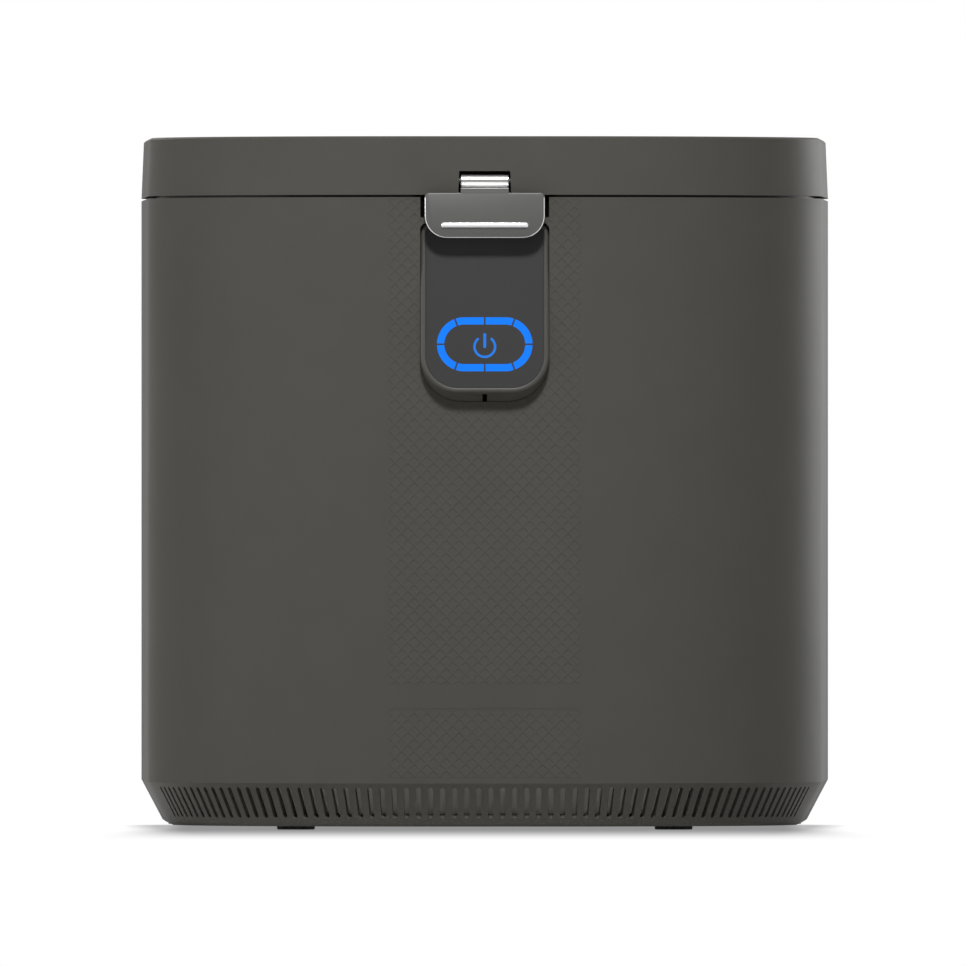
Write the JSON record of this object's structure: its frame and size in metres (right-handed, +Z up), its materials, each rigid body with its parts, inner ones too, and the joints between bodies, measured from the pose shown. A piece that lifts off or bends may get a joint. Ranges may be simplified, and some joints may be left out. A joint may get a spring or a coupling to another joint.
{
  "type": "electric food waste composter",
  "caption": "Countertop electric food waste composter with curved case, hinged lid held by a front latch, tilted touch console, heated bucket with agitator, filter and fan.",
  "frame": {"origin": "middle of the footprint's bounding box, on the floor under the feet", "axes": "+Z up, front (latch and console) towards -Y, +X to the right seen from the front"},
  "size_m": [0.29, 0.322, 0.289],
  "materials": {
    "case_body": "fine satin moulded plastic, warm dark grey",
    "case_skirt": "fine satin moulded plastic, a shade darker",
    "inner_plastic": "moulded plastic, fine spark texture",
    "foot_rubber": "soft rubber",
    "seal_rubber": "silicone rubber",
    "screw_steel": "plated steel",
    "well_steel": "drawn stainless steel",
    "heater_alloy": "machined aluminium",
    "element_steel": "heat-toned steel sheath",
    "bush_bronze": "sintered bronze",
    "gearbox_alloy": "die-cast, as cast",
    "motor_steel": "rolled steel",
    "fan_plastic": "moulded plastic, black",
    "circuit_board": "solder mask over glass fibre",
    "component_plastic": "moulded parts",
    "contact_brass": "plated brass",
    "console_frame": "satin moulded plastic",
    "console_glass": "gloss, smoked",
    "ring_light": "lit blue diffuser",
    "mark_light": "lit blue diffuser",
    "flap_metal": "satin grey metal with a polished bevel",
    "latch_chrome": "polished",
    "bucket_alloy": "ceramic coat, speckled dark grey",
    "cutter_steel": "stainless steel",
    "grip_plastic": "soft-touch grip",
    "gear_plastic": "natural acetal",
    "filter_plastic": "moulded plastic",
    "carbon": "granular activated carbon"
  },
  "bodies": {
    "base": {"base_tray": "case_skirt", "feet": "foot_rubber", "outer_shell": "case_body", "rear_panel": "case_body", "case_screws": "screw_steel", "top_deck": "inner_plastic", "bucket_well": "well_steel", "heater_plate": "heater_alloy", "heater_element": "element_steel", "thermal_cutout": "element_steel", "shaft_seal": "seal_rubber", "shaft_bushes": "bush_bronze", "compound_axle": "screw_steel", "gearbox_housing": "gearbox_alloy", "gearbox_cover": "gearbox_alloy", "motor_can": "motor_steel", "filter_housing": "inner_plastic", "air_duct": "inner_plastic", "fan_frame": "fan_plastic", "main_board": "circuit_board", "board_components": "component_plastic", "power_inlet": "fan_plastic", "inlet_pins": "contact_brass", "reed_sensor": "component_plastic", "latch_catch": "screw_steel", "hinge_pins": "screw_steel", "console_bezel": "console_frame", "console_lens": "console_glass", "light_segments": "ring_light", "power_mark": "mark_light", "console_board": "circuit_board"},
    "lid": {"lid_cover": "case_body", "lid_liner": "inner_plastic", "lid_gasket": "seal_rubber", "lid_duct": "inner_plastic", "lid_screen": "well_steel", "lid_magnet": "screw_steel", "lid_screws": "screw_steel", "latch_pin": "screw_steel", "latch_spring": "screw_steel"},
    "latch": {"latch_flap": "flap_metal", "latch_grip_rib": "latch_chrome", "latch_barrel": "latch_chrome"},
    "bucket": {"bucket_pot": "bucket_alloy", "fixed_cutters": "cutter_steel", "pot_bush": "bush_bronze", "pot_seal": "seal_rubber"},
    "bail": {"bail_handle": "cutter_steel", "bail_grip": "grip_plastic"},
    "agitator": {"agitator_hub": "bucket_alloy", "sweep_arms": "cutter_steel", "cutting_arms": "cutter_steel"},
    "output_drive": {"drive_shaft": "motor_steel", "output_gear": "gear_plastic"},
    "double_gear": {"compound_gear": "gear_plastic"},
    "rotor": {"motor_pinion": "bush_bronze", "motor_rotor": "motor_steel"},
    "fan": {"fan_impeller": "fan_plastic"},
    "filter": {"filter_case": "filter_plastic", "filter_carbon": "carbon"}
  },
  "joints": [
    {"name": "lid_hinge", "type": "hinge", "parent": "base", "child": "lid", "pos_m": [0, 0.157, 0.2641], "axis": [-1, 0, 0], "range_deg": [0, 95]},
    {"name": "latch_pivot", "type": "hinge", "parent": "lid", "child": "latch", "pos_m": [0, -0.151, 0.2704], "axis": [-1, 0, 0], "range_deg": [0, 70], "stiffness_Nm_per_rad": 0.01, "springref_deg": -17.19},
    {"name": "bucket_lift", "type": "slide", "parent": "base", "child": "bucket", "axis": [0, 0, 1], "range_m": [0, 0.165]},
    {"name": "bail_swing", "type": "hinge", "parent": "bucket", "child": "bail", "pos_m": [0, -0.033, 0.2515], "axis": [-1, 0, 0], "range_deg": [0, 90]},
    {"name": "drive_spin", "type": "hinge", "parent": "base", "child": "output_drive", "pos_m": [0, -0.033, 0.065], "axis": [0, 0, 1], "continuous": true},
    {"name": "agitator_spin", "type": "hinge", "parent": "bucket", "child": "agitator", "pos_m": [0, -0.033, 0.11], "axis": [0, 0, 1], "continuous": true},
    {"name": "double_gear_spin", "type": "hinge", "parent": "base", "child": "double_gear", "pos_m": [0, 0.012, 0.07], "axis": [0, 0, 1], "continuous": true},
    {"name": "rotor_spin", "type": "hinge", "parent": "base", "child": "rotor", "pos_m": [0.031, 0.012, 0.05], "axis": [0, 0, 1], "continuous": true},
    {"name": "fan_spin", "type": "hinge", "parent": "base", "child": "fan", "pos_m": [0, 0.142, 0.1], "axis": [0, 1, 0], "continuous": true},
    {"name": "filter_lift", "type": "slide", "parent": "base", "child": "filter", "axis": [0, 0, 1], "range_m": [0, 0.04]}
  ],
  "couplings": [
    {"joint": "bucket_lift", "follows": "lid_hinge", "m_per_rad": 0.0995},
    {"joint": "bail_swing", "follows": "lid_hinge", "ratio": 0.947},
    {"joint": "filter_lift", "follows": "lid_hinge", "m_per_rad": 0.024},
    {"joint": "agitator_spin", "follows": "drive_spin", "ratio": 1},
    {"joint": "double_gear_spin", "follows": "drive_spin", "ratio": -4},
    {"joint": "rotor_spin", "follows": "drive_spin", "ratio": 16.667}
  ]
}
